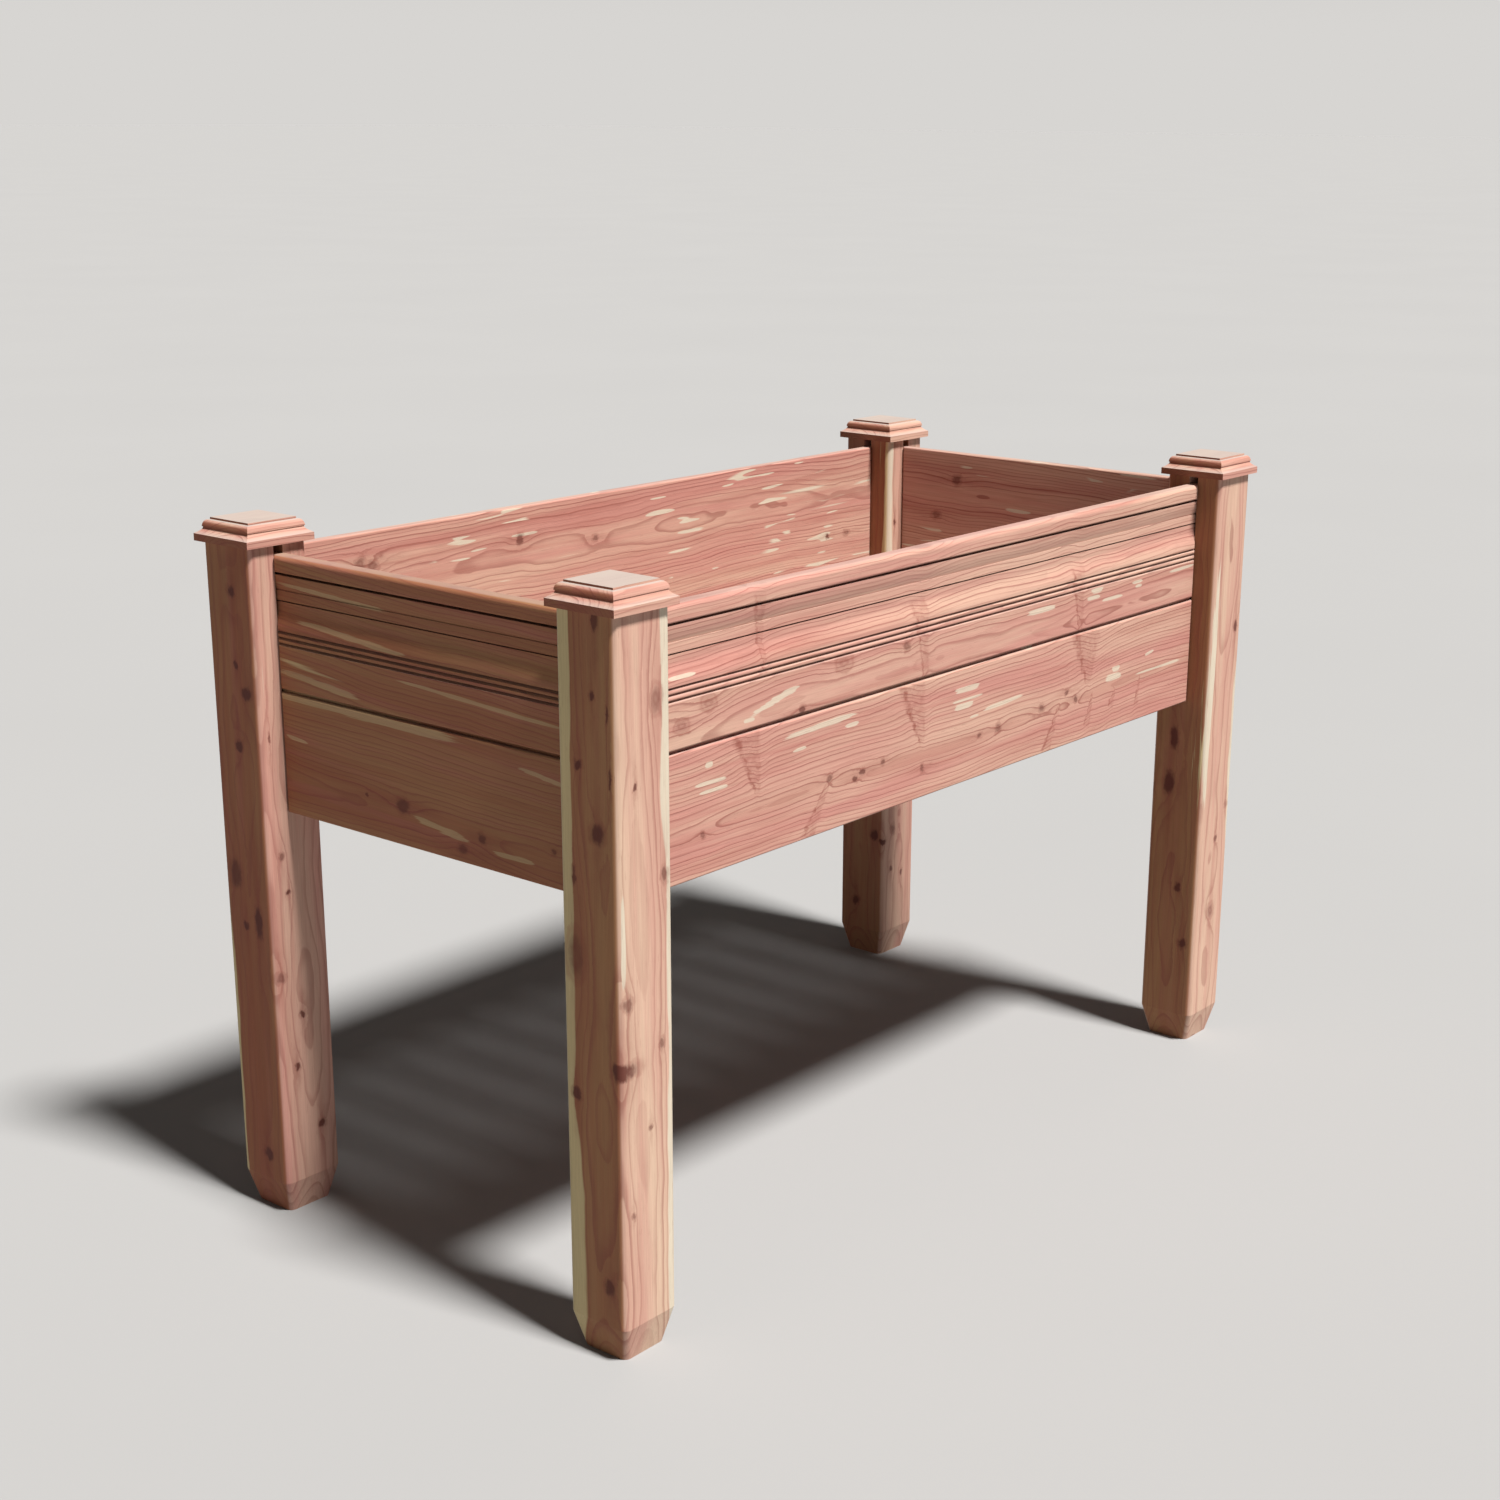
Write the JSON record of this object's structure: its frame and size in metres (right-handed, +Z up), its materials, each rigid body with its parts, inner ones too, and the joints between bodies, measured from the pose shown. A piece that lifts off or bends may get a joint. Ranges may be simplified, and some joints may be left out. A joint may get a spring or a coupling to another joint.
{
  "type": "raised planter on legs",
  "caption": "Rectangular cedar planter bed held at table height between square corner posts with moulded caps and grooved side boards.",
  "frame": {"origin": "on the ground under the middle of the planter", "axes": "+X along the length, towards the right end; +Y across the width, towards the back; +Z up"},
  "size_m": [1.2316, 0.6284, 0.8128],
  "materials": {
    "cedar_post": "planed, unfinished, vertical grain with cream sapwood edges",
    "cedar_board": "planed, unfinished, lengthwise grain with cream sapwood flecks",
    "cedar_cap": "planed and moulded, unfinished",
    "cedar_floor": "lightly planed, unfinished",
    "dowel_wood": "smooth turned hardwood",
    "screw_steel": "plain stainless"
  },
  "bodies": {
    "root": {"post_front_left": "cedar_post", "post_front_right": "cedar_post", "post_back_left": "cedar_post", "post_back_right": "cedar_post", "cap_front_left": "cedar_cap", "cap_front_right": "cedar_cap", "cap_back_left": "cedar_cap", "cap_back_right": "cedar_cap", "cap_dowel_front_left": "dowel_wood", "cap_dowel_front_right": "dowel_wood", "cap_dowel_back_left": "dowel_wood", "cap_dowel_back_right": "dowel_wood", "lower_board_front": "cedar_board", "lower_board_right": "cedar_board", "lower_board_back": "cedar_board", "lower_board_left": "cedar_board", "upper_board_front": "cedar_board", "upper_board_right": "cedar_board", "upper_board_back": "cedar_board", "upper_board_left": "cedar_board", "cleat_front": "cedar_floor", "cleat_right": "cedar_floor", "cleat_back": "cedar_floor", "cleat_left": "cedar_floor", "floor_slat_01": "cedar_floor", "floor_slat_02": "cedar_floor", "floor_slat_03": "cedar_floor", "floor_slat_04": "cedar_floor", "floor_slat_05": "cedar_floor", "floor_slat_06": "cedar_floor", "floor_slat_07": "cedar_floor", "floor_slat_08": "cedar_floor", "floor_slat_09": "cedar_floor", "floor_slat_10": "cedar_floor", "floor_slat_11": "cedar_floor", "floor_slat_12": "cedar_floor", "cleat_screws": "screw_steel", "slat_screws": "screw_steel"}
  },
  "joints": []
}
